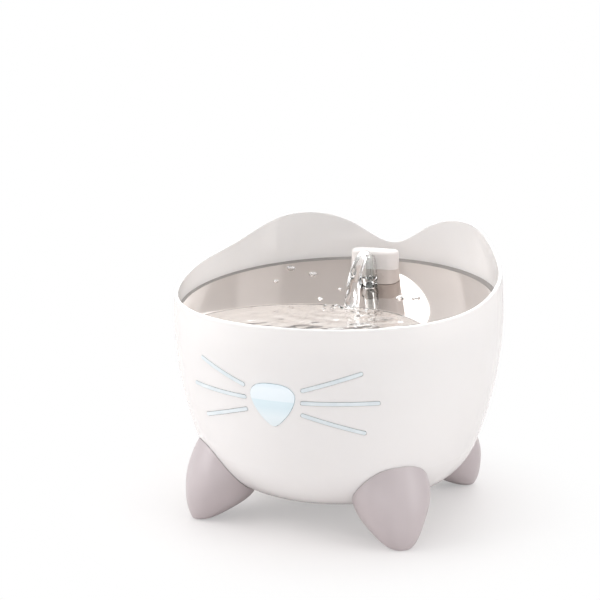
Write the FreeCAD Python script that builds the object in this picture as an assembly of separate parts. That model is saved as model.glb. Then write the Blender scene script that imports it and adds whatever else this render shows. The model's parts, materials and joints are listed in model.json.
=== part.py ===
import FreeCAD, Part
import math
import os

# Pet water fountain: a bowl with two ear peaks on four feet, a polished dish that closes it, a pump
# below the dish and a spout on it. Millimetres, +Z up, the front (the nose) looks along -Y, and the
# origin is on the floor below the middle of the bowl.

os.makedirs("parts", exist_ok=True)
Vector = FreeCAD.Vector

# Bowl, outside
bowl_radius = 115.2
widest_height = 140.0
underside_height = 18.0
belly_radius = 255.0
corner_radius = 50.0

# Bowl, wall
bowl_wall = 2.8
ear_tip_wall = 1.9
lip_rounding = 0.8

# Rim: height at the front, at the ear peaks and at the nape, and how far the rise has come at each
# angle from the front
rim_front = 151.4
ear_height = 194.4
rim_nape = 172.3
ear_rise = ((0, 0.0), (45, 0.02), (75, 0.14), (95, 0.335), (115, 0.57), (135, 0.956), (150, 1.0))
nape_angle = 165
nape_share = 0.61

# Dish: part of a ball, lowest in front of the middle, with a round edge set forward
dish_ball = 620.0
dish_low = 133.7
dish_low_forward = 64.0
dish_sheet = 1.0
dish_edge_inset = 5.8
dish_radius = bowl_radius - dish_edge_inset
dish_forward = 2.3
drain_count = 8
drain_inner = 8.0
drain_outer = 18.0
drain_width = 3.2

# Seat of the dish
ledge_width = 4.0
ledge_depth = 3.5
seal_sheet = 1.2
seat_gap = 0.3

# Carrier under the dish, and its filter
carrier_sheet = 2.0
carrier_gap = 0.6
basket_width = 96.0
basket_front = -76.0
basket_back = -6.0
basket_floor = 100.0
basket_wall = 2.0
filter_height = 20.0
filter_frame_wall = 3.0
filter_gap = 0.6
basket_slot_width = 3.0
basket_slots = 9

# Feet
foot_angles = {"front_left": -46, "front_right": 46, "rear_left": -134, "rear_right": 134}
foot_sole = 0.6
foot_contact = bowl_radius - 11.7

# Level sections of a foot: height, distance of the middle from the axis, half depth, half width
foot_sections = (
    (foot_sole, foot_contact, 5.4, 6.4),
    (3.0, bowl_radius - 15.6, 10.4, 11.0),
    (9.0, bowl_radius - 21.3, 17.8, 16.2),
    (18.0, bowl_radius - 27.1, 24.1, 21.8),
    (26.0, bowl_radius - 28.3, 24.7, 25.2),
    (34.0, bowl_radius - 28.3, 22.9, 26.7),
    (42.0, bowl_radius - 28.5, 20.4, 25.6),
    (50.0, bowl_radius - 29.2, 17.7, 23.0),
    (57.0, bowl_radius - 30.7, 15.4, 18.5),
)
foot_blunt = 0.82
foot_gap = 0.3
pad_radius = 3.8
pad_height = 1.2
lug_width = 12.0
lug_low = 33.0
lug_high = 50.0
lug_edge = 4.0
screw_out = bowl_radius - 19.2
screw_radius = 1.5
screw_head_radius = 2.8
screw_head_height = 2.2
screw_head_low = 12.0
screw_length = 30.0
screw_gap = 0.2

# Nose lens: half outline, across and up
nose_outline = (
    (0.0, 114.4), (6.5, 114.0), (11.6, 112.3), (15.2, 107.9), (14.4, 101.4),
    (10.6, 94.4), (5.6, 88.6), (2.4, 86.0), (0.0, 85.2),
)
nose_gap = 0.3
nose_proud = 0.4
nose_flange = 2.5
nose_flange_sheet = 1.2
gasket_sheet = 1.5
gasket_width = 2.5
lamp_depth = 12.0
lamp_wall = 1.6
lamp_board_sheet = 1.2
lamp_board_back = 2.0
lamp_led = 2.4
lamp_led_spacing = 7.0

# Whiskers: the same three on each side, inner and outer end as distance round the bowl and height
whiskers = (
    ((21.5, 111.4), (58.5, 123.2)),
    ((21.5, 102.9), (70.0, 103.2)),
    ((21.5, 94.5), (61.0, 82.7)),
)
whisker_width = 2.5
whisker_depth = 1.2
whisker_proud = 0.2
whisker_gap = 0.25
whisker_bed_gap = 0.1

# How far a cutting form stands out from the surface that it cuts, above the ears and behind the nose
cut_margin = 5.0
top_margin = 12.0
nose_cut_depth = 35.0

# Pump: its places along y are counted from its outlet, which stands below the spout's nozzle
spout_back = bowl_radius - 54.2
pump_axis_height = 46.0
pump_bottom = 27.0
pump_width = 38.0
pump_height = 36.0
motor_front = spout_back - 39.0
motor_back = spout_back - 7.0
motor_wall = 2.0
chamber_back = spout_back + 7.5
chamber_radius = 18.0
chamber_wall = 2.5
rotor_bore = 8.3
rotor_sleeve = 1.5
magnet_radius = 7.8
magnet_front = spout_back - 31.5
magnet_back = spout_back - 8.0
shaft_radius = 1.0
shaft_gap = 0.05
bush_radius = 3.0
bush_length = 3.0
bush_gap = 0.02
blade_count = 6
blade_sheet = 1.2
blade_reach = 12.5
blade_front = spout_back - 5.0
blade_back = spout_back + 4.0
hub_radius = 3.4
cover_sheet = 3.0
pump_cover_gap = 0.1
intake_count = 6
intake_radius = 2.2
intake_circle = 9.5
stator_front = spout_back - 31.0
stator_back = spout_back - 16.0
coil_back = spout_back - 10.0
outlet_radius = 7.1
outlet_bore = 4.5
outlet_top = 76.0
foam_depth = 8.0
foam_size = 30.0
cup_radius = 6.0
cup_inset = 8.0

# Riser and spout
riser_radius = 9.0
riser_bore = 7.3
riser_low = 68.0
riser_top = 131.0
socket_radius = 7.0
socket_bore = 4.7
socket_low = 122.0
nozzle_stub_radius = 4.5
nozzle_stub_bore = 2.8
nozzle_stub_low = 127.0
nozzle_collar_radius = 6.2
nozzle_collar_height = 7.0
nozzle_bell_radius = 5.4
nozzle_top_radius = 3.8
nozzle_height = 22.5
nozzle_wall = 1.1
nozzle_tab_width = 5.0
nozzle_tab_height = 2.5
spout_width = 36.0
spout_depth = 15.0
spout_front = spout_back + 5.0
spout_corner = 6.5
spout_flare = 1.3
spout_split = 158.4
spout_top = 172.0
spout_cap_rounding = 2.5
spout_wall = 3.0
spout_gap = 0.2
peg_radius = 2.2
peg_spacing = 22.0
peg_back = spout_front + spout_depth / 2
peg_length = 9.0
peg_gap = 0.3

# Cord grommet in the rear wall, above the fill line
grommet_height = 138.0
grommet_radius = 5.0
grommet_bore = 2.0
grommet_flange = 7.5
grommet_sheet = 1.6
grommet_proud = 0.6


def box(x0, x1, y0, y1, z0, z1):
    return Part.makeBox(x1 - x0, y1 - y0, z1 - z0, Vector(x0, y0, z0))


def rod(radius, start, end):
    start = Vector(*start)
    along = Vector(*end) - start
    return Part.makeCylinder(radius, along.Length, start, along)


def tube(radius, bore, start, end):
    return rod(radius, start, end).cut(rod(bore, start, end))


def turned(points, x=0.0, y=0.0):
    """A solid of revolution about the upright axis at x, y, from its half section (radius, height)."""
    corners = [Vector(r, 0, z) for r, z in points]
    face = Part.Face(Part.makePolygon(corners + corners[:1]))
    solid = face.revolve(Vector(0, 0, 0), Vector(0, 0, 1), 360)
    solid.translate(Vector(x, y, 0))
    return solid


def union(solids):
    whole = solids[0]
    for solid in solids[1:]:
        whole = whole.fuse(solid)
    return whole.removeSplitter()


def save(name, shape):
    shape.exportStep("parts/" + name + ".step")
    print(name, len(shape.Solids), "valid" if shape.isValid() else "NOT VALID", round(shape.Volume, 1))


def arc(centre, radius, start, end):
    """An arc in the upright plane y = 0, between two angles above the horizontal."""
    x, z = centre
    angles = (start, (start + end) / 2, end)
    ends = [Vector(x + radius * math.cos(a), 0, z + radius * math.sin(a)) for a in angles]
    return Part.Arc(*ends).toShape()


def bowl_form(inset, upper_radius=belly_radius, top=ear_height + top_margin):
    """The bowl's outer form moved inwards by inset, solid up to top. Above the widest height the
    side is an arc of upper_radius."""
    belly_x = bowl_radius - belly_radius
    corner_z = underside_height + corner_radius
    reach = belly_radius - corner_radius
    corner_x = belly_x + math.sqrt(reach**2 - (corner_z - widest_height) ** 2)
    lean = math.asin((corner_z - widest_height) / reach)
    low = underside_height + inset
    corner = arc((corner_x, corner_z), corner_radius - inset, -math.pi / 2, lean)
    side = arc((belly_x, widest_height), belly_radius - inset, lean, 0.0)
    upper_x = bowl_radius - inset - upper_radius
    upper = arc((upper_x, widest_height), upper_radius, 0.0, math.asin((top - widest_height) / upper_radius))
    start = corner.Vertexes[0].Point
    end = upper.Vertexes[-1].Point
    floor = Part.makeLine(Vector(0, 0, low), start)
    lid = Part.makeLine(end, Vector(0, 0, top))
    axis = Part.makeLine(Vector(0, 0, top), Vector(0, 0, low))
    face = Part.Face(Part.Wire([floor, corner, side, upper, lid, axis]))
    return face.revolve(Vector(0, 0, 0), Vector(0, 0, 1), 360)


def bowl_inside(inset=bowl_wall):
    """The bowl's inside, with the draft that thins the wall towards the ear tips."""
    rise = ear_height - widest_height
    outside_fall = belly_radius - math.sqrt(belly_radius**2 - rise**2)
    fall = outside_fall - (bowl_wall - ear_tip_wall)
    return bowl_form(inset, (rise**2 + fall**2) / (2 * fall))


def wall_slice(outer, inner):
    """The layer of the side wall between two depths below the outer surface."""
    return bowl_form(outer).cut(bowl_form(inner))


def rim_points(radius):
    heights = [(angle, rim_front + share * (ear_height - rim_front)) for angle, share in ear_rise]
    heights.append((nape_angle, rim_nape + nape_share * (ear_height - rim_nape)))
    heights.append((180, rim_nape))
    mirrored = [(-angle, height) for angle, height in heights[-2:0:-1]]
    points = []
    for angle, height in heights + mirrored:
        turn = math.radians(angle)
        points.append(Vector(radius * math.sin(turn), -radius * math.cos(turn), height))
    return points


def above_rim():
    """Everything above the rim, as a ruled surface between two closed curves carried upwards."""
    curves = []
    for radius in (bowl_radius * 0.6, bowl_radius * 1.2):
        curve = Part.BSplineCurve()
        curve.interpolate(Points=rim_points(radius), PeriodicFlag=True)
        curves.append(curve.toShape())
    return Part.makeRuledSurface(*curves).extrude(Vector(0, 0, ear_height))


def dish_ball_at(depth):
    """The ball whose underside lies at a depth below the dish's upper surface."""
    centre = Vector(0, -dish_low_forward, dish_low + dish_ball)
    return Part.makeSphere(dish_ball + depth, centre, Vector(1, 0, 0))


def dish_layer(top, bottom):
    """The layer between two depths below the dish's upper surface."""
    slab = rod(bowl_radius * 1.05, (0, 0, dish_low - 30), (0, 0, ear_height))
    return slab.common(dish_ball_at(bottom)).cut(dish_ball_at(top))


def dish_plan(grow):
    """An upright prism on the dish's round edge, larger by grow."""
    low = (0, -dish_forward, underside_height)
    return rod(dish_radius + grow, low, (0, -dish_forward, ear_height + 20))


def dish_height(x, y):
    """Height of the dish's upper surface."""
    across = x**2 + (y + dish_low_forward) ** 2
    return dish_low + dish_ball - math.sqrt(dish_ball**2 - across)


def nose_prism(grow):
    """The nose outline carried through the front wall, larger by grow all round."""
    front = -bowl_radius - cut_margin
    tall = (nose_outline[0][1] - nose_outline[-1][1]) / 2
    middle = (nose_outline[0][1] + nose_outline[-1][1]) / 2
    wide = max(x for x, z in nose_outline)
    points = []
    for x, z in nose_outline + tuple((-x, z) for x, z in nose_outline[-2:0:-1]):
        points.append(Vector(x * (1 + grow / wide), front, middle + (z - middle) * (1 + grow / tall)))
    curve = Part.BSplineCurve()
    curve.interpolate(Points=points, PeriodicFlag=True)
    face = Part.Face(Part.Wire([curve.toShape()]))
    return face.extrude(Vector(0, cut_margin + nose_cut_depth, 0))


def whisker_prism(ends, side, grow):
    """A bar with round ends through the wall, square to the wall at the whisker's middle."""
    angles = [side * arc_length / bowl_radius for arc_length, _ in ends]
    middle = sum(angles) / 2
    out = Vector(math.sin(middle), -math.cos(middle), 0)
    around = Vector(math.cos(middle), math.sin(middle), 0)
    centres = []
    for angle, (_, height) in zip(angles, ends):
        across = bowl_radius * math.sin(angle - middle)
        centres.append(out * (bowl_radius * 0.85) + around * across + Vector(0, 0, height))
    half = whisker_width / 2 + grow
    along = (centres[1] - centres[0]).normalize()
    square = out.cross(along) * half
    corners = [centres[0] + square, centres[1] + square, centres[1] - square, centres[0] - square]
    bar = Part.Face(Part.makePolygon(corners + corners[:1])).extrude(out * (bowl_radius * 0.2))
    ends_round = [Part.makeCylinder(half, bowl_radius * 0.2, centre, out) for centre in centres]
    return union([bar] + ends_round)


def at_foot(shape, angle):
    """A shape built on the +X side, turned to a foot's place."""
    turned_shape = shape.copy()
    turned_shape.rotate(Vector(0, 0, 0), Vector(0, 0, 1), angle - 90)
    return turned_shape


def lug(grow):
    """The block on the bowl that a foot's screw turns into."""
    half = lug_width / 2 + grow
    reach = screw_out + lug_edge + grow
    return box(bowl_radius / 2, reach, -half, half, lug_low - grow, lug_high + grow)


def screw_rod(radius, low, high):
    return rod(radius, (screw_out, 0, low), (screw_out, 0, high))


def make_bowl(outside, inside):
    ledge = dish_layer(dish_sheet + seat_gap + seal_sheet, dish_sheet + seat_gap + seal_sheet + ledge_depth)
    ledge = ledge.cut(dish_plan(-ledge_width)).common(bowl_form(bowl_wall / 2))
    shell = outside.cut(inside).cut(above_rim())
    rims = [edge for edge in shell.Edges if edge.BoundBox.ZMax > rim_nape + 1]
    rims = [edge for edge in rims if edge.BoundBox.ZMin > rim_front - 3 and edge.Length > bowl_radius]
    shell = shell.makeFillet(lip_rounding, rims)
    bosses = [at_foot(lug(0).cut(bowl_form(bowl_wall / 2)), angle) for angle in foot_angles.values()]
    shell = union([shell, ledge] + bosses)
    shell = shell.cut(nose_prism(nose_gap))
    groove = wall_slice(-1.0, whisker_depth + whisker_bed_gap)
    for ends in whiskers:
        for side in (-1, 1):
            shell = shell.cut(whisker_prism(ends, side, whisker_gap).common(groove))
    hole = screw_rod(screw_radius, lug_low - 1, screw_head_low + screw_head_height + screw_length)
    for angle in foot_angles.values():
        shell = shell.cut(at_foot(hole, angle))
    hole = rod(grommet_radius, (0, bowl_radius - 15, grommet_height), (0, bowl_radius + 5, grommet_height))
    return shell.cut(hole)


def make_lens():
    window = nose_prism(0).common(wall_slice(-nose_proud, bowl_wall))
    flange = nose_prism(nose_flange).common(wall_slice(bowl_wall, bowl_wall + nose_flange_sheet))
    return union([window, flange])


def make_lens_gasket():
    ring = nose_prism(nose_flange + gasket_width).cut(nose_prism(nose_flange + nose_gap))
    return ring.common(wall_slice(bowl_wall, bowl_wall + gasket_sheet))


def make_lamp():
    """The lamp housing, its board and its lamps, all following the wall behind the nose lens."""
    seat = bowl_wall + gasket_sheet
    back = seat + lamp_depth
    board_back = back - lamp_wall - lamp_board_back
    board_front = board_back - lamp_board_sheet
    housing = nose_prism(nose_flange + gasket_width).common(wall_slice(seat, back))
    hollow = nose_prism(nose_flange + gasket_width - lamp_wall)
    housing = housing.cut(hollow.common(wall_slice(0, back - lamp_wall)))
    step = hollow.cut(nose_prism(nose_flange - lamp_wall))
    housing = union([housing, step.common(wall_slice(board_back, back - lamp_wall))])
    board = nose_prism(nose_flange + gasket_width - lamp_wall - nose_gap)
    board = board.common(wall_slice(board_front, board_back))
    middle = (nose_outline[0][1] + nose_outline[-1][1]) / 2
    lamps = []
    for step_up in (-1, 0, 1):
        z = middle + step_up * lamp_led_spacing
        half = lamp_led / 2
        lamp = box(-half, half, -bowl_radius, 0, z - half, z + half)
        lamps.append(lamp.common(wall_slice(board_front - lamp_led / 2, board_front)))
    return housing, board, Part.makeCompound(lamps)


def make_whiskers():
    layer = wall_slice(-whisker_proud, whisker_depth)
    return Part.makeCompound(
        [whisker_prism(ends, side, 0).common(layer) for ends in whiskers for side in (-1, 1)]
    )


def foot_ring(height, out, radial, across):
    """One level section of a foot: an oval, blunter on its outer half."""
    points = []
    for step in range(16):
        turn = 2 * math.pi * step / 16
        blunt = foot_blunt if math.cos(turn) > 0 else 1.0
        side = math.copysign(abs(math.sin(turn)) ** blunt, math.sin(turn))
        points.append(Vector(out + radial * math.cos(turn), across * side, height))
    curve = Part.BSplineCurve()
    curve.interpolate(Points=points, PeriodicFlag=True)
    return Part.Wire([curve.toShape()])


def make_foot():
    foot = Part.makeLoft([foot_ring(*section) for section in foot_sections], True, False)
    foot = foot.cut(bowl_form(-foot_gap)).cut(lug(foot_gap))
    foot = foot.cut(screw_rod(screw_radius + screw_gap, 0, lug_low))
    foot = foot.cut(screw_rod(screw_head_radius + screw_gap, 0, screw_head_low + screw_head_height))
    return foot.cut(rod(pad_radius + screw_gap, (foot_contact, 0, 0), (foot_contact, 0, pad_height)))


def make_foot_screw():
    shoulder = screw_head_low + screw_head_height
    head = screw_rod(screw_head_radius, screw_head_low, shoulder)
    shank = screw_rod(screw_radius, screw_head_low, shoulder + screw_length - screw_gap)
    socket = screw_rod(screw_radius * 0.8, screw_head_low, screw_head_low + screw_radius)
    return head.fuse(shank).cut(socket)


def make_foot_pad():
    return rod(pad_radius, (foot_contact, 0, 0), (foot_contact, 0, pad_height))


def at_all_feet(shape):
    return Part.makeCompound([at_foot(shape, angle) for angle in foot_angles.values()])


def make_seal(inside):
    """The soft ring between the dish and the wall, with a flange below the dish's edge."""
    low = dish_sheet + seat_gap + seal_sheet
    ring = inside.cut(dish_plan(-ledge_width))
    flange = ring.common(dish_layer(dish_sheet + seat_gap, low))
    lip = ring.cut(dish_plan(seat_gap)).common(dish_layer(0, low))
    return union([flange, lip])


def make_grommet():
    y = bowl_radius
    barrel = rod(grommet_radius, (0, y - 15, grommet_height), (0, y + 5, grommet_height))
    collar = rod(grommet_flange, (0, y - 15, grommet_height), (0, y + 5, grommet_height))
    bore = rod(grommet_bore, (0, y - 15, grommet_height), (0, y + 5, grommet_height))
    outer = collar.common(wall_slice(-grommet_proud, 0))
    middle = barrel.common(wall_slice(0, bowl_wall))
    inner = collar.common(wall_slice(bowl_wall, bowl_wall + grommet_sheet))
    return union([outer, middle, inner]).cut(bore)


def make_pump_housing():
    """The motor block with its rotor sleeve, the impeller chamber and the outlet."""
    half = pump_width / 2
    z = pump_axis_height
    block = box(-half, half, motor_front, motor_back, pump_bottom, pump_bottom + pump_height)
    uprights = [edge for edge in block.Edges if abs(edge.tangentAt(edge.FirstParameter).z) > 0.5]
    block = block.makeFillet(motor_wall, uprights)
    hollow = box(-half + motor_wall, half - motor_wall, motor_front + motor_wall, motor_back - motor_wall,
                 pump_bottom + motor_wall, pump_bottom + pump_height - motor_wall)
    sleeve = rod(rotor_bore + rotor_sleeve, (0, motor_front, z), (0, motor_back, z))
    chamber = rod(chamber_radius, (0, motor_back, z), (0, chamber_back, z))
    outlet = rod(outlet_radius, (0, spout_back, z), (0, spout_back, outlet_top))
    housing = union([block.cut(hollow), sleeve, chamber, outlet])
    bush_end = motor_front + motor_wall + bush_length
    room = chamber_radius - chamber_wall
    front_wall = motor_back + chamber_wall / 2
    housing = housing.cut(rod(bush_radius + bush_gap, (0, motor_front + motor_wall, z), (0, bush_end, z)))
    housing = housing.cut(rod(rotor_bore, (0, bush_end, z), (0, chamber_back, z)))
    housing = housing.cut(rod(room, (0, front_wall, z), (0, chamber_back, z)))
    return housing.cut(rod(outlet_bore, (0, spout_back, z), (0, spout_back, outlet_top)))


def make_pump_cover():
    z = pump_axis_height
    back = chamber_back + cover_sheet
    cover = rod(chamber_radius, (0, chamber_back, z), (0, back, z))
    room = chamber_radius - chamber_wall - pump_cover_gap
    spigot = tube(room, room - chamber_wall, (0, chamber_back - 2, z), (0, chamber_back, z))
    cover = union([cover, spigot])
    cover = cover.cut(rod(bush_radius + bush_gap, (0, chamber_back, z), (0, back, z)))
    for step in range(intake_count):
        turn = 2 * math.pi * step / intake_count
        x = intake_circle * math.cos(turn)
        up = z + intake_circle * math.sin(turn)
        cover = cover.cut(rod(intake_radius, (x, chamber_back, up), (x, back, up)))
    return cover


def make_bush(front):
    z = pump_axis_height
    return tube(bush_radius, shaft_radius + shaft_gap, (0, front, z), (0, front + bush_length, z))


def make_rotor():
    """The impeller: a hub on the shaft with flat blades."""
    z = pump_axis_height
    hub = rod(hub_radius, (0, magnet_back, z), (0, blade_back, z))
    blade = box(-blade_sheet / 2, blade_sheet / 2, blade_front, blade_back, z, z + blade_reach)
    blades = []
    for step in range(blade_count):
        turned_blade = blade.copy()
        turned_blade.rotate(Vector(0, 0, z), Vector(0, 1, 0), 360 * step / blade_count)
        blades.append(turned_blade)
    return union([hub] + blades).cut(rod(shaft_radius, (0, magnet_back, z), (0, blade_back, z)))


def make_stator_core():
    half = pump_width / 2 - 2 * motor_wall
    z = pump_axis_height
    core = box(-half, half, stator_front, stator_back, z - half + 1, z + half - 1)
    return core.cut(rod(rotor_bore + rotor_sleeve, (0, stator_front, z), (0, stator_back, z)))


def make_stator_coil():
    half = pump_width / 2 - 2 * motor_wall + 1
    z = pump_axis_height
    coil = box(-half, half, stator_back, coil_back, z - half + 1, z + half - 1)
    return coil.cut(rod(rotor_bore + rotor_sleeve, (0, stator_back, z), (0, coil_back, z)))


def make_suction_cups():
    """Four cups that hold the pump to the bowl's floor."""
    floor = underside_height + bowl_wall
    tall = pump_bottom - floor
    lip = cup_radius * 0.15
    section = ((0, tall), (cup_radius / 2, tall), (cup_radius / 2, tall * 0.6), (cup_radius, 0),
               (cup_radius - lip, 0), (cup_radius / 3, tall * 0.4), (0, tall * 0.45))
    section = [(r, floor + z) for r, z in section]
    across = pump_width / 2 - cup_radius
    places = [(x, y) for x in (-across, across) for y in (motor_front + cup_inset, motor_back - cup_inset)]
    return Part.makeCompound([turned(section, x, y) for x, y in places])


def make_foam():
    half = foam_size / 2
    front = chamber_back + cover_sheet
    z = pump_axis_height
    return box(-half, half, front, front + foam_depth, z - half, z + half)


def make_dish():
    dish = dish_plan(0).common(dish_layer(0, dish_sheet))
    for step in range(drain_count):
        slot = box(drain_inner, drain_outer, -drain_width / 2, drain_width / 2, dish_low - 10, dish_low + 10)
        for x in (drain_inner, drain_outer):
            slot = slot.fuse(rod(drain_width / 2, (x, 0, dish_low - 10), (x, 0, dish_low + 10)))
        slot.rotate(Vector(0, 0, 0), Vector(0, 0, 1), 360 * step / drain_count)
        slot.translate(Vector(0, -dish_low_forward, 0))
        dish = dish.cut(slot)
    dish = dish.cut(rod(nozzle_stub_radius + peg_gap, (0, spout_back, dish_low), (0, spout_back, ear_height)))
    for x in (-peg_spacing / 2, peg_spacing / 2):
        dish = dish.cut(rod(peg_radius + peg_gap, (x, peg_back, dish_low), (x, peg_back, ear_height)))
    return dish


def make_carrier():
    """The tray under the dish, with the filter basket and the sockets of the spout."""
    seat = dish_sheet + seat_gap
    plate = dish_plan(-ledge_width - carrier_gap).common(dish_layer(seat, seat + carrier_sheet))
    half = basket_width / 2
    basket = box(-half, half, basket_front, basket_back, basket_floor, dish_low + 20)
    socket = rod(socket_radius, (0, spout_back, socket_low), (0, spout_back, ear_height))
    peg_low = dish_height(peg_spacing / 2, peg_back) - peg_length - peg_gap
    pegs = []
    for x in (-peg_spacing / 2, peg_spacing / 2):
        peg = (x, peg_back, peg_low)
        pegs.append(rod(peg_radius + peg_gap + carrier_sheet, peg, (x, peg_back, ear_height)))
    below = [solid.cut(dish_ball_at(seat)) for solid in [basket, socket] + pegs]
    carrier = union([plate] + below)
    carrier = carrier.cut(box(-half + basket_wall, half - basket_wall, basket_front + basket_wall,
                              basket_back - basket_wall, basket_floor + basket_wall, ear_height))
    pitch = (basket_width - 2 * basket_wall) / (basket_slots + 1)
    for step in range(basket_slots):
        x = -half + basket_wall + pitch * (step + 1)
        carrier = carrier.cut(box(x - basket_slot_width / 2, x + basket_slot_width / 2, basket_front + pitch,
                                  basket_back - pitch, basket_floor, basket_floor + basket_wall))
    carrier = carrier.cut(rod(socket_bore, (0, spout_back, socket_low), (0, spout_back, ear_height)))
    for x in (-peg_spacing / 2, peg_spacing / 2):
        carrier = carrier.cut(rod(peg_radius + peg_gap, (x, peg_back, peg_low), (x, peg_back, ear_height)))
    return carrier


def make_filter():
    """The filter's frame and the pad in it."""
    inset = basket_wall + filter_gap
    half = basket_width / 2 - inset
    front = basket_front + inset
    back = basket_back - inset
    low = basket_floor + basket_wall
    high = low + filter_height
    wall = filter_frame_wall
    block = box(-half, half, front, back, low, high)
    room = box(-half + wall, half - wall, front + wall, back - wall, low, high)
    frame = block.cut(room)
    bar = box(-wall / 2, wall / 2, front, back, low, low + wall / 2)
    frame = union([frame, bar])
    pad = box(-half + wall, half - wall, front + wall, back - wall, low + wall / 2, high)
    return frame, pad


def spout_wire(grow, height):
    """The spout's plan, a rectangle with round corners, larger by grow, at a height."""
    half = spout_width / 2 + grow
    y0 = spout_front - grow
    y1 = spout_front + spout_depth + grow
    block = box(-half, half, y0, y1, height, height + 1)
    uprights = [edge for edge in block.Edges if abs(edge.tangentAt(edge.FirstParameter).z) > 0.5]
    block = block.makeFillet(spout_corner + grow, uprights)
    return min(block.Faces, key=lambda face: face.CenterOfMass.z).OuterWire


def make_spout_base():
    low = dish_height(0, spout_front) - seal_sheet
    base = Part.makeLoft([spout_wire(spout_flare, low), spout_wire(0, spout_split)], True, True)
    base = base.common(dish_ball_at(-seat_gap))
    floor = dish_height(spout_width / 2, spout_front + spout_depth) + spout_wall
    room = Part.Face(spout_wire(-spout_wall, floor)).extrude(Vector(0, 0, spout_top - floor))
    base = base.cut(room)
    for x in (-peg_spacing / 2, peg_spacing / 2):
        top = dish_height(x, peg_back)
        base = base.fuse(rod(peg_radius, (x, peg_back, top - peg_length), (x, peg_back, top + spout_wall)))
    base = base.removeSplitter()
    base = base.cut(rod(nozzle_collar_radius + spout_gap, (0, spout_back, low), (0, spout_back, spout_top)))
    return base.cut(nozzle_tab(spout_gap))


def make_spout_cap():
    cap = Part.Face(spout_wire(0, spout_split)).extrude(Vector(0, 0, spout_top - spout_split))
    rim = [edge for edge in cap.Edges if edge.BoundBox.ZMin > spout_top - 0.01]
    cap = cap.makeFillet(spout_cap_rounding, rim)
    room = Part.Face(spout_wire(-spout_wall, spout_split))
    return cap.cut(room.extrude(Vector(0, 0, spout_top - spout_split - spout_wall)))


def nozzle_tab(grow):
    """The tongue that holds the nozzle in the spout's front wall."""
    low = dish_height(0, spout_back) + seat_gap + nozzle_collar_height / 2
    half = nozzle_tab_width / 2 + grow
    return box(-half, half, spout_back + nozzle_collar_radius / 2, spout_front + spout_wall + grow,
               low - grow, low + nozzle_tab_height + grow)


def make_nozzle():
    """The clear nozzle: a stub in the carrier's socket, a collar on the dish and a bell above it."""
    seat = dish_height(0, spout_back) + seat_gap
    shoulder = seat + nozzle_collar_height
    top = seat + nozzle_height
    bell = nozzle_bell_radius
    outer = [Vector(0, 0, socket_low), Vector(nozzle_collar_radius, 0, socket_low),
             Vector(nozzle_collar_radius, 0, shoulder - 1), Vector(bell, 0, shoulder)]
    lines = [Part.makeLine(a, b) for a, b in zip(outer, outer[1:])]
    waist = Vector((bell + nozzle_top_radius) / 2 + 0.35, 0, (shoulder + top) / 2)
    lines.append(Part.Arc(outer[-1], waist, Vector(nozzle_top_radius, 0, top)).toShape())
    lines.append(Part.makeLine(Vector(nozzle_top_radius, 0, top), Vector(0, 0, top)))
    lines.append(Part.makeLine(Vector(0, 0, top), outer[0]))
    body = Part.Face(Part.Wire(lines)).revolve(Vector(0, 0, 0), Vector(0, 0, 1), 360)
    body.translate(Vector(0, spout_back, 0))
    stub = rod(nozzle_stub_radius, (0, spout_back, nozzle_stub_low), (0, spout_back, shoulder - 1))
    body = union([body.common(dish_ball_at(-seat_gap)), stub, nozzle_tab(0)])
    bore = turned([(0, nozzle_stub_low), (nozzle_stub_bore, nozzle_stub_low), (nozzle_stub_bore, seat),
                   (bell - nozzle_wall, shoulder), (nozzle_top_radius - nozzle_wall, top), (0, top)],
                  0, spout_back)
    return body.cut(bore)


outside = bowl_form(0.0)
inside = bowl_inside()
save("bowl", make_bowl(outside, inside))

foot = make_foot()
for name, angle in foot_angles.items():
    save("foot_" + name, at_foot(foot, angle))
save("foot_screws", at_all_feet(make_foot_screw()))
save("foot_pads", at_all_feet(make_foot_pad()))

save("nose_lens", make_lens())
save("lens_gasket", make_lens_gasket())
lamp_housing, lamp_board, lamps = make_lamp()
save("lamp_housing", lamp_housing)
save("lamp_board", lamp_board)
save("lamps", lamps)
save("whiskers", make_whiskers())
save("dish_seal", make_seal(inside))
save("cord_grommet", make_grommet())

save("pump_housing", make_pump_housing())
save("pump_cover", make_pump_cover())
save("front_bush", make_bush(motor_front + motor_wall))
save("rear_bush", make_bush(chamber_back))
shaft_start = (0, motor_front + motor_wall, pump_axis_height)
shaft_end = (0, chamber_back + cover_sheet, pump_axis_height)
magnet_ends = ((0, magnet_front, pump_axis_height), (0, magnet_back, pump_axis_height))
save("impeller_shaft", rod(shaft_radius, shaft_start, shaft_end))
save("impeller_magnet", tube(magnet_radius, shaft_radius, *magnet_ends))
save("impeller", make_rotor())
save("stator_core", make_stator_core())
save("stator_coil", make_stator_coil())
save("suction_cups", make_suction_cups())
save("intake_foam", make_foam())
save("riser_tube", tube(riser_radius, riser_bore, (0, spout_back, riser_low), (0, spout_back, riser_top)))

save("dish", make_dish())
save("deck_carrier", make_carrier())
filter_frame, filter_pad = make_filter()
save("filter_frame", filter_frame)
save("filter_pad", filter_pad)

save("spout_base", make_spout_base())
save("spout_cap", make_spout_cap())
save("nozzle", make_nozzle())
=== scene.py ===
import json

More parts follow.
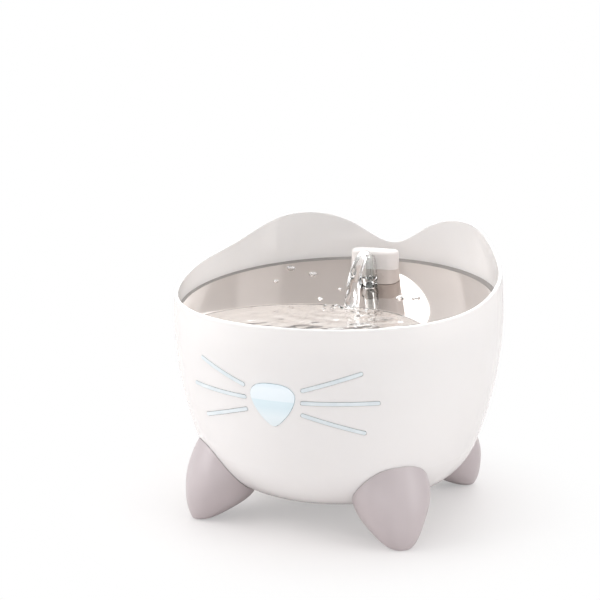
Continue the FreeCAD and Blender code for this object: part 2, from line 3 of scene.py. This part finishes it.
import bmesh
import bpy
import numpy as np
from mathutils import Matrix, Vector


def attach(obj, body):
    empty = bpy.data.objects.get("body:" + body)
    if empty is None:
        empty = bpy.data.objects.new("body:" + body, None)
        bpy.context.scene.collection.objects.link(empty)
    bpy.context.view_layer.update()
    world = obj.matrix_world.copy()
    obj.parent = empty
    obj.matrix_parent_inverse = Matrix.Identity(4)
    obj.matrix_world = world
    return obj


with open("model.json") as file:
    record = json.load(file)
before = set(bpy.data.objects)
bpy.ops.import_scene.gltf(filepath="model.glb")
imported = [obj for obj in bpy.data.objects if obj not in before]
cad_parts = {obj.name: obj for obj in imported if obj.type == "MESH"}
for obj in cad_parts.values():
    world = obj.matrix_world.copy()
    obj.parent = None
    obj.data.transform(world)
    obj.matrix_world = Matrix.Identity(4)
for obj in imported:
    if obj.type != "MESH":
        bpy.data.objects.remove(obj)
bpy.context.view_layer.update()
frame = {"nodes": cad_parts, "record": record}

# The camera, fitted to the photograph: about 85 mm on a square 36 mm frame
CAMERA_PLACE = (0.3653, -0.9100, 0.3500)
CAMERA_AIM = (-0.0247, -0.0107, 0.1472)
CAMERA_LENS_MM = 85.43
SENSOR_MM = 36.0

# Dish, as the CAD has it, in metres
DISH_BALL = 0.620
DISH_LOW = 0.1337
DISH_LOW_Y = -0.064
DISH_RADIUS = 0.1094
DISH_FORWARD = 0.0023

# Water: lengths in metres, waves in radians per metre, shares and counts plain
WATER_LEVEL = 0.1393
POOL_EDGE_GAP = 0.0004
WATER_FILM = 0.00025
NOZZLE_Y = 0.061
NOZZLE_TOP = 0.1688
STREAM_PEAK = 0.1722
STREAM_REACH = 0.041
LANDING = (0.001, 0.020)
STREAM_START = 0.150
STREAM_RISE_SHARE = 0.25
STREAM_SINK = 0.001
STREAM_THIN = 0.0023
STREAM_GROWTH = 0.0030
STREAM_FLATNESS = 0.8
STREAM_END_SHARE = 0.02
SHORE_DEPTH = 0.0016
RING_HEIGHT = 0.00045
RING_WAVES = 430.0
RING_FADE = 0.034
SWELL_HEIGHT = 0.00022
FINE_HEIGHT = 0.00005
DROP_FLATNESS = 0.55
BUBBLE_TRIES = 34
BUBBLE_RING = (0.004, 0.016)
BUBBLE_SIZES = (0.0005, 0.0013)
BUBBLE_LIFT = 0.0002
BUBBLE_FORWARD = 0.006
BUBBLE_CLEAR = 0.001
BUBBLE_FLATNESS = 0.9
WATER_COLOUR = (0.985, 0.99, 0.99)
# The pool's water is tinted darker than the stream and drops: painted shade for the darker look of the
# pool
POOL_SHADE_COLOUR = (0.66, 0.642, 0.628)
WATER_REFRACTION = 1.333

# Drops on the dish: x, y and radius
DROPS = (
    (0.0316, 0.0405, 0.0030), (0.0435, 0.0412, 0.0027), (-0.0682, 0.0722, 0.0030),
    (-0.0485, 0.0690, 0.0028), (-0.0687, 0.0454, 0.0016), (-0.0248, 0.0260, 0.0017),
    (-0.0185, 0.0493, 0.0013),
)

# Nose lens: its tip, its top, and the colours between them by share of that height. These colours are
# painted shade and light: a darker step in the middle and a painted highlight on the upper facet above
# the sharp step at 0.615.
LENS_LOW = 0.0852
LENS_HIGH = 0.1144
LENS_GLOW = 0.10
LENS_SHADE_BANDS = (
    (0.00, (0.80, 0.86, 0.88)), (0.22, (0.82, 0.89, 0.92)), (0.45, (0.72, 0.84, 0.89)),
    (0.60, (0.74, 0.86, 0.91)), (0.615, (0.86, 0.93, 0.97)), (0.88, (0.90, 0.96, 1.00)),
    (1.00, (0.80, 0.90, 0.95)),
)

# Polish: which directions count in the distance from an axis, and points that the axes pass
UP_AXIS = (1.0, 1.0, 0.0)
LEVEL_AXIS = (1.0, 0.0, 1.0)
ALONG_Y = (0.0, 1.0, 0.0)
PUMP_AXIS = (0.0, 0.0, 0.046)
DISH_LOWEST = (0.0, DISH_LOW_Y, DISH_LOW)

# Stage
WORLD_LIGHT = 0.36
FLOOR_RADIUS = 6.0
FLOOR_COLOUR = (0.90, 0.868, 0.86, 1.0)
FLOOR_WHITE_FROM = 0.08
FLOOR_WHITE_TO = 0.20
FLOOR_WHITE_LEAST = 0.33

# Lamps: name, place, size in metres, watts
LAMPS = (
    ("left_window", (-1.20, -0.72, 0.85), (1.3, 1.3), 14.5),
    ("right_window", (1.35, -0.10, 0.60), (0.9, 1.4), 8.8),
    ("low_fill", (0.25, -1.20, 0.25), (1.2, 0.3), 1.6),
    ("top_panel", (-0.1, 0.25, 1.5), (1.6, 1.4), 10.0),
    ("sky_panel", (-0.2, 1.1, 1.25), (3.0, 2.2), 36.0),
)
NO_DIFFUSE = ("sky_panel",)
LAMP_AIM = (0.0, 0.0, 0.10)

# How far a full bump stands out, in metres
BUMP_DISTANCE = 0.001

rng = np.random.default_rng(7)


def dish_height(x, y):
    """Height of the dish's upper surface: a ball of DISH_BALL standing on its lowest point."""
    across = x**2 + (y - DISH_LOW_Y) ** 2
    return DISH_LOW + DISH_BALL - np.sqrt(DISH_BALL**2 - across)


def mesh_from_grid(name, grids):
    """One mesh from grids of points (rows, columns, 3). Columns run round and close on themselves, and
    a first or last row that has shrunk to a point becomes a pole."""
    points = []
    faces = []
    start = 0
    for grid in grids:
        rows, columns = grid.shape[:2]
        index = start + np.arange(rows * columns).reshape(rows, columns)
        index = np.concatenate([index, index[:, :1]], axis=1)
        quads = np.stack([index[:-1, :-1], index[:-1, 1:], index[1:, 1:], index[1:, :-1]], axis=-1)
        points.append(grid.reshape(-1, 3))
        faces.append(quads.reshape(-1, 4))
        start += rows * columns
    mesh = bpy.data.meshes.new(name)
    mesh.from_pydata(np.concatenate(points).tolist(), [], np.concatenate(faces).tolist())
    piece = bpy.data.objects.new(name, mesh)
    bpy.context.scene.collection.objects.link(piece)
    close_poles(piece)
    return piece


def close_poles(piece):
    """Merges the doubled points at poles, turns all faces outwards and shades them smooth."""
    work = bmesh.new()
    work.from_mesh(piece.data)
    bmesh.ops.remove_doubles(work, verts=work.verts, dist=1e-6)
    bmesh.ops.recalc_face_normals(work, faces=work.faces)
    for face in work.faces:
        face.smooth = True
    work.to_mesh(piece.data)
    work.free()


def make_camera():
    """The scene's camera, turned from its place to its aim."""
    camera = bpy.data.objects.new("camera", bpy.data.cameras.new("camera"))
    camera.data.lens = CAMERA_LENS_MM
    camera.data.sensor_width = SENSOR_MM
    camera.location = CAMERA_PLACE
    look = Vector(CAMERA_AIM) - Vector(CAMERA_PLACE)
    camera.rotation_euler = look.to_track_quat("-Z", "Y").to_euler()
    bpy.context.scene.collection.objects.link(camera)
    bpy.context.scene.camera = camera


def make_lamp(name, place, size, watts):
    """A soft rectangular lamp at a place, turned to the object. One that NO_DIFFUSE names lights no
    matt surface and shows only in gloss and clear pieces."""
    light = bpy.data.lights.new(name, "AREA")
    light.shape = "RECTANGLE"
    light.size, light.size_y = size
    light.energy = watts
    lamp = bpy.data.objects.new(name, light)
    lamp.location = place
    lamp.rotation_euler = (Vector(LAMP_AIM) - Vector(place)).to_track_quat("-Z", "Y").to_euler()
    lamp.visible_diffuse = name not in NO_DIFFUSE
    bpy.context.scene.collection.objects.link(lamp)


def make_world():
    """Plain white to the camera, to gloss and through clear pieces, and a softer white as light."""
    world = bpy.data.worlds.new("studio")
    bpy.context.scene.world = world
    world.use_nodes = True
    nodes, links = world.node_tree.nodes, world.node_tree.links
    path = nodes.new("ShaderNodeLightPath")
    seen = nodes.new("ShaderNodeMath")
    seen.operation = "MAXIMUM"
    seen_too = nodes.new("ShaderNodeMath")
    seen_too.operation = "MAXIMUM"
    level = nodes.new("ShaderNodeMapRange")
    level.inputs["To Min"].default_value = WORLD_LIGHT
    level.inputs["To Max"].default_value = 1.0
    links.new(path.outputs["Is Camera Ray"], seen.inputs[0])
    links.new(path.outputs["Is Glossy Ray"], seen.inputs[1])
    links.new(seen.outputs[0], seen_too.inputs[0])
    links.new(path.outputs["Is Transmission Ray"], seen_too.inputs[1])
    links.new(seen_too.outputs[0], level.inputs["Value"])
    links.new(level.outputs[0], nodes["Background"].inputs["Strength"])
    nodes["Background"].inputs["Color"].default_value = (1.0, 1.0, 1.0, 1.0)


def make_stage():
    """A floor that turns white away from the object and keeps its shadow near it."""
    radii = np.linspace(0.0, 1.0, 40)[:, None] ** 2 * FLOOR_RADIUS
    turn = np.linspace(0, 2 * np.pi, 96, endpoint=False)[None, :]
    grid = np.stack([radii * np.cos(turn), radii * np.sin(turn), np.zeros_like(radii * turn)], axis=-1)
    floor = mesh_from_grid("floor", [grid])
    material = bpy.data.materials.new("floor")
    material.use_nodes = True
    nodes, links = material.node_tree.nodes, material.node_tree.links
    shader = nodes["Principled BSDF"]
    shader.inputs["Base Color"].default_value = FLOOR_COLOUR
    shader.inputs["Roughness"].default_value = 0.6
    shader.inputs["Specular IOR Level"].default_value = 0.2
    white = nodes.new("ShaderNodeEmission")
    mix = nodes.new("ShaderNodeMixShader")
    path = nodes.new("ShaderNodeLightPath")
    coordinates = nodes.new("ShaderNodeTexCoord")
    distance = nodes.new("ShaderNodeVectorMath")
    distance.operation = "LENGTH"
    spread = nodes.new("ShaderNodeMapRange")
    spread.interpolation_type = "SMOOTHSTEP"
    spread.inputs["From Min"].default_value = FLOOR_WHITE_FROM
    spread.inputs["From Max"].default_value = FLOOR_WHITE_TO
    spread.inputs["To Min"].default_value = FLOOR_WHITE_LEAST
    spread.inputs["To Max"].default_value = 1.0
    seen = nodes.new("ShaderNodeMath")
    seen.operation = "MAXIMUM"
    factor = nodes.new("ShaderNodeMath")
    factor.operation = "MULTIPLY"
    links.new(coordinates.outputs["Object"], distance.inputs[0])
    links.new(distance.outputs["Value"], spread.inputs["Value"])
    links.new(path.outputs["Is Camera Ray"], seen.inputs[0])
    links.new(path.outputs["Is Transmission Ray"], seen.inputs[1])
    links.new(spread.outputs[0], factor.inputs[0])
    links.new(seen.outputs[0], factor.inputs[1])
    links.new(factor.outputs[0], mix.inputs["Fac"])
    links.new(shader.outputs[0], mix.inputs[1])
    links.new(white.outputs[0], mix.inputs[2])
    links.new(mix.outputs[0], nodes["Material Output"].inputs["Surface"])
    floor.data.materials.append(material)


def group_tree(name, inputs, outputs):
    """An empty node group with named sockets, and its input and output nodes."""
    tree = bpy.data.node_groups.new(name, "ShaderNodeTree")
    for socket, kind in inputs:
        tree.interface.new_socket(socket, in_out="INPUT", socket_type=kind)
    for socket, kind in outputs:
        tree.interface.new_socket(socket, in_out="OUTPUT", socket_type=kind)
    return tree, tree.nodes.new("NodeGroupInput"), tree.nodes.new("NodeGroupOutput")


def make_skin_group():
    """Moulded skin: a fine grain for the bump and large faint patches for colour and gloss."""
    tree, given, result = group_tree(
        "moulded_skin",
        [("Grain Scale", "NodeSocketFloat"), ("Patch Scale", "NodeSocketFloat")],
        [("Height", "NodeSocketFloat"), ("Patch", "NodeSocketFloat")],
    )
    nodes, links = tree.nodes, tree.links
    place = nodes.new("ShaderNodeTexCoord")
    grain = nodes.new("ShaderNodeTexNoise")
    grain.inputs["Detail"].default_value = 2.0
    patch = nodes.new("ShaderNodeTexNoise")
    patch.inputs["Detail"].default_value = 3.0
    for texture, scale in ((grain, "Grain Scale"), (patch, "Patch Scale")):
        links.new(place.outputs["Object"], texture.inputs["Vector"])
        links.new(given.outputs[scale], texture.inputs["Scale"])
    links.new(grain.outputs["Fac"], result.inputs["Height"])
    links.new(patch.outputs["Fac"], result.inputs["Patch"])
    return tree


def make_tone_group():
    """Two tones of one colour, mixed by a mask."""
    tree, given, result = group_tree(
        "two_tones",
        [("Light", "NodeSocketColor"), ("Dark", "NodeSocketColor"), ("Mask", "NodeSocketFloat")],
        [("Color", "NodeSocketColor")],
    )
    nodes, links = tree.nodes, tree.links
    spread = nodes.new("ShaderNodeMapRange")
    spread.inputs["From Min"].default_value = 0.35
    spread.inputs["From Max"].default_value = 0.65
    mix = nodes.new("ShaderNodeMix")
    mix.data_type = "RGBA"
    links.new(given.outputs["Mask"], spread.inputs["Value"])
    links.new(spread.outputs[0], mix.inputs["Factor"])
    links.new(given.outputs["Dark"], mix.inputs[6])
    links.new(given.outputs["Light"], mix.inputs[7])
    links.new(mix.outputs[2], result.inputs["Color"])
    return tree


def make_ring_group():
    """Polishing rings round an upright or level axis: a noise read along the distance from it."""
    tree, given, result = group_tree(
        "polish_rings",
        [("Centre", "NodeSocketVector"), ("Keep", "NodeSocketVector"),
         ("Ring Scale", "NodeSocketFloat")],
        [("Height", "NodeSocketFloat")],
    )
    nodes, links = tree.nodes, tree.links
    place = nodes.new("ShaderNodeTexCoord")
    from_centre = nodes.new("ShaderNodeVectorMath")
    from_centre.operation = "SUBTRACT"
    flat = nodes.new("ShaderNodeVectorMath")
    flat.operation = "MULTIPLY"
    distance = nodes.new("ShaderNodeVectorMath")
    distance.operation = "LENGTH"
    along = nodes.new("ShaderNodeCombineXYZ")
    rings = nodes.new("ShaderNodeTexNoise")
    rings.inputs["Detail"].default_value = 4.0
    links.new(place.outputs["Object"], from_centre.inputs[0])
    links.new(given.outputs["Centre"], from_centre.inputs[1])
    links.new(from_centre.outputs[0], flat.inputs[0])
    links.new(given.outputs["Keep"], flat.inputs[1])
    links.new(flat.outputs[0], distance.inputs[0])
    links.new(distance.outputs["Value"], along.inputs["X"])
    links.new(along.outputs[0], rings.inputs["Vector"])
    links.new(given.outputs["Ring Scale"], rings.inputs["Scale"])
    links.new(rings.outputs["Fac"], result.inputs["Height"])
    return tree


SKIN = make_skin_group()
TONES = make_tone_group()
RINGS = make_ring_group()


def place_group(nodes, tree, **values):
    """A group node with its own values; an underscore in a name stands for a space."""
    node = nodes.new("ShaderNodeGroup")
    node.node_tree = tree
    for socket, value in values.items():
        node.inputs[socket.replace("_", " ")].default_value = value
    return node


def plastic(name, light, dark, roughness, grain=900.0, patch=14.0, depth=0.02, **constants):
    """Moulded plastic or rubber: two near tones in large patches, a fine grain and varied gloss."""
    material = bpy.data.materials.new(name)
    material.use_nodes = True
    nodes, links = material.node_tree.nodes, material.node_tree.links
    shader = nodes["Principled BSDF"]
    skin = place_group(nodes, SKIN, Grain_Scale=grain, Patch_Scale=patch)
    tones = place_group(nodes, TONES, Light=(*light, 1.0), Dark=(*dark, 1.0))
    gloss = nodes.new("ShaderNodeMapRange")
    gloss.inputs["To Min"].default_value = roughness * 0.85
    gloss.inputs["To Max"].default_value = roughness * 1.15
    bump = nodes.new("ShaderNodeBump")
    bump.inputs["Strength"].default_value = depth
    bump.inputs["Distance"].default_value = BUMP_DISTANCE
    links.new(skin.outputs["Patch"], tones.inputs["Mask"])
    links.new(tones.outputs["Color"], shader.inputs["Base Color"])
    links.new(skin.outputs["Patch"], gloss.inputs["Value"])
    links.new(gloss.outputs[0], shader.inputs["Roughness"])
    links.new(skin.outputs["Height"], bump.inputs["Height"])
    links.new(bump.outputs[0], shader.inputs["Normal"])
    for socket, value in constants.items():
        shader.inputs[socket.replace("_", " ")].default_value = value
    return material


def lit_lens(name):
    """The nose lens: pale colours from its tip to its top with a facet line, lit faintly from behind.
    The colours by height are painted shade, darkest in the middle, and a painted highlight on the
    upper facet above the facet line.
    """
    material = plastic(name, LENS_SHADE_BANDS[0][1], LENS_SHADE_BANDS[1][1], 0.10, 300.0, 60.0, 0.01,
                       Coat_Weight=0.8, Coat_Roughness=0.03, Transmission_Weight=0.15,
                       Emission_Strength=LENS_GLOW, Emission_Color=(0.75, 0.90, 1.0, 1.0))
    nodes, links = material.node_tree.nodes, material.node_tree.links
    place = nodes.new("ShaderNodeTexCoord")
    parts = nodes.new("ShaderNodeSeparateXYZ")
    height = nodes.new("ShaderNodeMapRange")
    height.inputs["From Min"].default_value = LENS_LOW
    height.inputs["From Max"].default_value = LENS_HIGH
    # Base colour by height: painted shade, with a painted highlight on the upper facet
    painted_shading = nodes.new("ShaderNodeValToRGB")
    ramp = painted_shading.color_ramp.elements
    for at, _ in LENS_SHADE_BANDS[1:-1]:
        ramp.new(at)
    for stop, (at, colour) in zip(sorted(ramp, key=lambda stop: stop.position), LENS_SHADE_BANDS):
        stop.color = (*colour, 1.0)
    links.new(place.outputs["Object"], parts.inputs[0])
    links.new(parts.outputs["Z"], height.inputs["Value"])
    links.new(height.outputs[0], painted_shading.inputs["Fac"])
    links.new(painted_shading.outputs["Color"], nodes["Principled BSDF"].inputs["Base Color"])
    return material


def metal(name, light, dark, roughness, centre, keep, rings=900.0, depth=0.02):
    """Turned, polished or stacked metal: rings round an axis or layers along it in the bump, two near
    tones."""
    material = plastic(name, light, dark, roughness, depth=depth, Metallic=1.0)
    nodes, links = material.node_tree.nodes, material.node_tree.links
    lines = place_group(nodes, RINGS, Centre=centre, Keep=keep, Ring_Scale=rings)
    links.new(lines.outputs["Height"], nodes["Bump"].inputs["Height"])
    return material


def clear(name, colour, roughness, refraction, depth, grain):
    """Clear plastic or water: light goes through it, with a faint waviness."""
    material = bpy.data.materials.new(name)
    material.use_nodes = True
    nodes, links = material.node_tree.nodes, material.node_tree.links
    shader = nodes["Principled BSDF"]
    shader.inputs["Base Color"].default_value = (*colour, 1.0)
    shader.inputs["Transmission Weight"].default_value = 1.0
    shader.inputs["Roughness"].default_value = roughness
    shader.inputs["IOR"].default_value = refraction
    skin = place_group(nodes, SKIN, Grain_Scale=grain, Patch_Scale=40.0)
    bump = nodes.new("ShaderNodeBump")
    bump.inputs["Strength"].default_value = depth
    bump.inputs["Distance"].default_value = BUMP_DISTANCE
    links.new(skin.outputs["Height"], bump.inputs["Height"])
    links.new(bump.outputs[0], shader.inputs["Normal"])
    return material


def make_finishes():
    """The finish of each material slot in the record."""
    return {
        "body_white": plastic("body_white", (0.885, 0.866, 0.858), (0.870, 0.851, 0.843),
                              0.16, 500.0, 9.0, 0.006,
                              Coat_Weight=0.4, Coat_Roughness=0.05, Subsurface_Weight=0.3,
                              Subsurface_Radius=(1.0, 0.95, 0.9), Subsurface_Scale=0.006),
        "foot_grey": plastic("foot_grey", (0.56, 0.50, 0.512), (0.52, 0.465, 0.475),
                             0.33, 1400.0, 20.0, 0.03),
        "pad_rubber": plastic("pad_rubber", (0.30, 0.28, 0.27), (0.26, 0.24, 0.24),
                              0.7, 1800.0, 60.0, 0.1),
        "lens_blue": lit_lens("lens_blue"),
        "whisker_blue": plastic("whisker_blue", (0.80, 0.86, 0.89), (0.72, 0.79, 0.83),
                                0.16, 700.0, 80.0, 0.02),
        "dish_steel": metal("dish_steel", (0.66, 0.61, 0.58), (0.64, 0.59, 0.56), 0.035,
                            DISH_LOWEST, UP_AXIS, 700.0, 0.004),
        "spout_taupe": plastic("spout_taupe", (0.68, 0.60, 0.56), (0.64, 0.56, 0.52),
                               0.28, 1200.0, 50.0, 0.02),
        "spout_white": plastic("spout_white", (0.90, 0.85, 0.83), (0.87, 0.82, 0.80),
                               0.38, 900.0, 40.0, 0.01,
                               Coat_Weight=0.3),
        "nozzle_clear": clear("nozzle_clear", (0.95, 0.965, 0.96), 0.03, 1.47, 0.02, 300.0),
        "carrier_white": plastic("carrier_white", (0.80, 0.79, 0.78), (0.76, 0.75, 0.74),
                                 0.42, 1500.0, 20.0, 0.04),
        "filter_white": plastic("filter_white", (0.82, 0.82, 0.80), (0.66, 0.66, 0.64),
                                0.9, 2600.0, 420.0, 0.6),
        "filter_grey": plastic("filter_grey", (0.27, 0.28, 0.29), (0.24, 0.25, 0.26),
                               0.5, 1500.0, 40.0, 0.05),
        "seal_grey": plastic("seal_grey", (0.36, 0.335, 0.32), (0.31, 0.29, 0.275),
                             0.5, 1500.0, 60.0, 0.05),
        "silicone_clear": plastic("silicone_clear", (0.72, 0.73, 0.72), (0.66, 0.67, 0.66),
                                  0.35, 900.0, 60.0, 0.03,
                                  Transmission_Weight=0.4),
        "pump_black": plastic("pump_black", (0.020, 0.020, 0.022), (0.014, 0.014, 0.016),
                              0.45, 1600.0, 40.0, 0.06),
        "foam_black": plastic("foam_black", (0.030, 0.030, 0.032), (0.006, 0.006, 0.007),
                              0.95, 900.0, 900.0, 1.0),
        "steel_bright": metal("steel_bright", (0.62, 0.62, 0.63), (0.56, 0.56, 0.57), 0.2,
                              (0.0, 0.0, 0.0), UP_AXIS, 1500.0, 0.05),
        "core_steel": metal("core_steel", (0.22, 0.22, 0.23), (0.17, 0.17, 0.18),
                            0.45, PUMP_AXIS, ALONG_Y,
                            2000.0, 0.4),
        "magnet_grey": metal("magnet_grey", (0.06, 0.06, 0.065), (0.045, 0.045, 0.05),
                             0.5, PUMP_AXIS, LEVEL_AXIS,
                             1200.0, 0.1),
        "coil_copper": metal("coil_copper", (0.52, 0.20, 0.08), (0.44, 0.16, 0.06),
                             0.3, PUMP_AXIS, LEVEL_AXIS,
                             1800.0, 0.8),
        "bush_white": plastic("bush_white", (0.80, 0.80, 0.77), (0.76, 0.76, 0.73),
                              0.3, 1500.0, 90.0, 0.03),
        "board_green": plastic("board_green", (0.02, 0.10, 0.04), (0.015, 0.08, 0.03),
                               0.35, 900.0, 300.0, 0.05),
        "lamp_yellow": plastic("lamp_yellow", (0.85, 0.75, 0.30), (0.80, 0.68, 0.25),
                               0.2, 1500.0, 400.0, 0.02),
    }


def finish_cad_nodes(finishes):
    """Gives each CAD node the finish of its material slot in the record."""
    for entry in frame["record"]["subparts"]:
        node = frame["nodes"][entry["node"]]
        node.data.materials.clear()
        node.data.materials.append(finishes[entry["material_slot"]])


def add(piece, body, material):
    """Gives a new piece its finish and its body."""
    piece.data.materials.clear()
    piece.data.materials.append(material)
    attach(piece, body)
    return piece


def pool_reach(turn):
    """How far the pool reaches from the dish's lowest point: to where the water level meets the dish,
    or to the dish's round edge where that is nearer."""
    shore = np.sqrt(DISH_BALL**2 - (DISH_LOW + DISH_BALL - WATER_LEVEL) ** 2)
    edge = DISH_RADIUS - POOL_EDGE_GAP
    across = DISH_LOW_Y + DISH_FORWARD
    along = across * np.sin(turn)
    to_edge = -along + np.sqrt(along**2 - across**2 + edge**2)
    return np.minimum(shore, to_edge)


def ripple(x, y):
    """Height of the moving water: rings that fade with distance from where the stream lands, and two
    slow swells that cross."""
    away = np.hypot(x - LANDING[0], y - LANDING[1])
    rings = RING_HEIGHT * np.cos(away * RING_WAVES) * np.exp(-away / RING_FADE)
    swell = SWELL_HEIGHT * np.sin(x * 150.0 + y * 95.0) * np.cos(y * 190.0 - x * 60.0)
    fine = FINE_HEIGHT * np.sin(x * 520.0 + np.sin(y * 300.0) * 2.0)
    return rings + swell + fine


def make_pool():
    """The water standing in the dish, as a closed form: its surface is the level plus the ripples, its
    underside lies on the dish, and both meet at the shore."""
    turn = np.linspace(0, 2 * np.pi, 220, endpoint=False)[None, :]
    share = np.linspace(0.0, 1.0, 120)[:, None]
    reach = pool_reach(turn)
    x = share * reach * np.cos(turn)
    y = DISH_LOW_Y + share * reach * np.sin(turn)
    bed = dish_height(x, y) + WATER_FILM
    calm = np.clip((WATER_LEVEL - bed) / SHORE_DEPTH, 0.0, 1.0)
    top = np.maximum(WATER_LEVEL + ripple(x, y) * calm, bed)
    surface = np.stack([x, y, top], axis=-1)
    under = np.stack([x, y, bed], axis=-1)[::-1]
    return mesh_from_grid("water_pool", [np.concatenate([surface, under])])


def make_stream():
    """The water from the nozzle: a tube that rises in the nozzle, bends over and falls forward on a
    throw curve, with three lobes that twist along it and a thickness that grows as it falls."""
    steps = np.linspace(0.0, 1.0, 150)
    rise = np.clip(steps / STREAM_RISE_SHARE, 0.0, 1.0)
    fall = np.clip((steps - STREAM_RISE_SHARE) / (1 - STREAM_RISE_SHARE), 0.0, 1.0)
    z_rise = STREAM_START + (NOZZLE_TOP - STREAM_START) * rise
    lift = STREAM_PEAK - NOZZLE_TOP
    drop = STREAM_PEAK - WATER_LEVEL + STREAM_SINK
    peak = np.sqrt(lift) / (np.sqrt(lift) + np.sqrt(drop))
    z_fall = STREAM_PEAK - (fall - peak) ** 2 * drop / (1 - peak) ** 2
    z = np.where(steps < STREAM_RISE_SHARE, z_rise, z_fall)
    y = NOZZLE_Y - STREAM_REACH * fall
    x = LANDING[0] * fall
    line = np.stack([x, y, z], axis=-1)
    tangent = np.gradient(line, axis=0)
    tangent /= np.linalg.norm(tangent, axis=1, keepdims=True)
    side = np.tile([1.0, 0.0, 0.0], (len(steps), 1))
    side -= tangent * np.sum(side * tangent, axis=1, keepdims=True)
    side /= np.linalg.norm(side, axis=1, keepdims=True)
    normal = np.cross(tangent, side)
    turn = np.linspace(0, 2 * np.pi, 40, endpoint=False)
    thick = STREAM_THIN + STREAM_GROWTH * fall**0.8
    lobes = 1.0 + 0.16 * np.sin(3 * turn[None, :] + 9.0 * fall[:, None]) * fall[:, None]
    lobes += 0.07 * np.sin(5 * turn[None, :] - 23.0 * fall[:, None]) * fall[:, None]
    ends = np.sqrt(np.clip(np.minimum(steps, 1 - steps) / STREAM_END_SHARE, 0.0, 1.0))
    radius = (thick * ends)[:, None] * lobes
    ring = np.cos(turn)[None, :, None] * side[:, None, :]
    ring = ring + STREAM_FLATNESS * np.sin(turn)[None, :, None] * normal[:, None, :]
    return mesh_from_grid("water_stream", [line[:, None, :] + radius[:, :, None] * ring])


def bead(x, y, radius, height, base):
    """A drop lying on a surface: an upper half oval over a round foot, closed below."""
    turn = np.linspace(0, 2 * np.pi, 24, endpoint=False)[None, :]
    lean = np.linspace(0.0, np.pi / 2, 9)[:, None]
    grow = radius * (1 + 0.10 * np.sin(2 * turn + x * 900.0) + 0.05 * np.sin(3 * turn + y * 700.0))
    px = x + grow * np.sin(lean) * np.cos(turn)
    py = y + grow * np.sin(lean) * np.sin(turn)
    ground = base(px, py) if callable(base) else np.full_like(px, base)
    cap = np.stack([px, py, ground + height * np.cos(lean) ** 0.8], axis=-1)
    foot = np.stack([px, py, ground], axis=-1)[::-1]
    return np.concatenate([cap, foot[1:]])


def make_drops():
    """Drops splashed onto the dish behind the pool."""
    def on_dish(x, y):
        """Height of the thin film of water on the dish."""
        return dish_height(x, y) + WATER_FILM
    beads = [bead(x, y, radius, radius * DROP_FLATNESS, on_dish) for x, y, radius in DROPS]
    return mesh_from_grid("water_drops", beads)


def make_bubbles():
    """Small bubbles round a point in front of where the stream lands, those behind it left out."""
    grids = []
    for _ in range(BUBBLE_TRIES):
        turn = rng.uniform(0, 2 * np.pi)
        away = BUBBLE_RING[0] + BUBBLE_RING[1] * rng.uniform() ** 1.5
        x = LANDING[0] + away * np.cos(turn)
        y = LANDING[1] - BUBBLE_FORWARD + away * np.sin(turn)
        if y > LANDING[1] - BUBBLE_CLEAR:
            continue
        size = rng.uniform(*BUBBLE_SIZES)
        grids.append(bead(x, y, size, size * BUBBLE_FLATNESS, WATER_LEVEL + BUBBLE_LIFT))
    return mesh_from_grid("water_bubbles", grids)


make_camera()
make_world()
make_stage()
for lamp_values in LAMPS:
    make_lamp(*lamp_values)

finishes = make_finishes()
finish_cad_nodes(finishes)
water = clear("water", WATER_COLOUR, 0.0, WATER_REFRACTION, 0.03, 160.0)
# A darker copy of the water for the pool: painted shade
shaded_pool_water = clear("shaded_pool_water", POOL_SHADE_COLOUR, 0.0, WATER_REFRACTION, 0.03, 160.0)
add(make_pool(), "dish", shaded_pool_water)
add(make_drops(), "dish", water)
add(make_bubbles(), "dish", water)
add(make_stream(), "spout", water)

bpy.context.scene.view_settings.view_transform = "Standard"
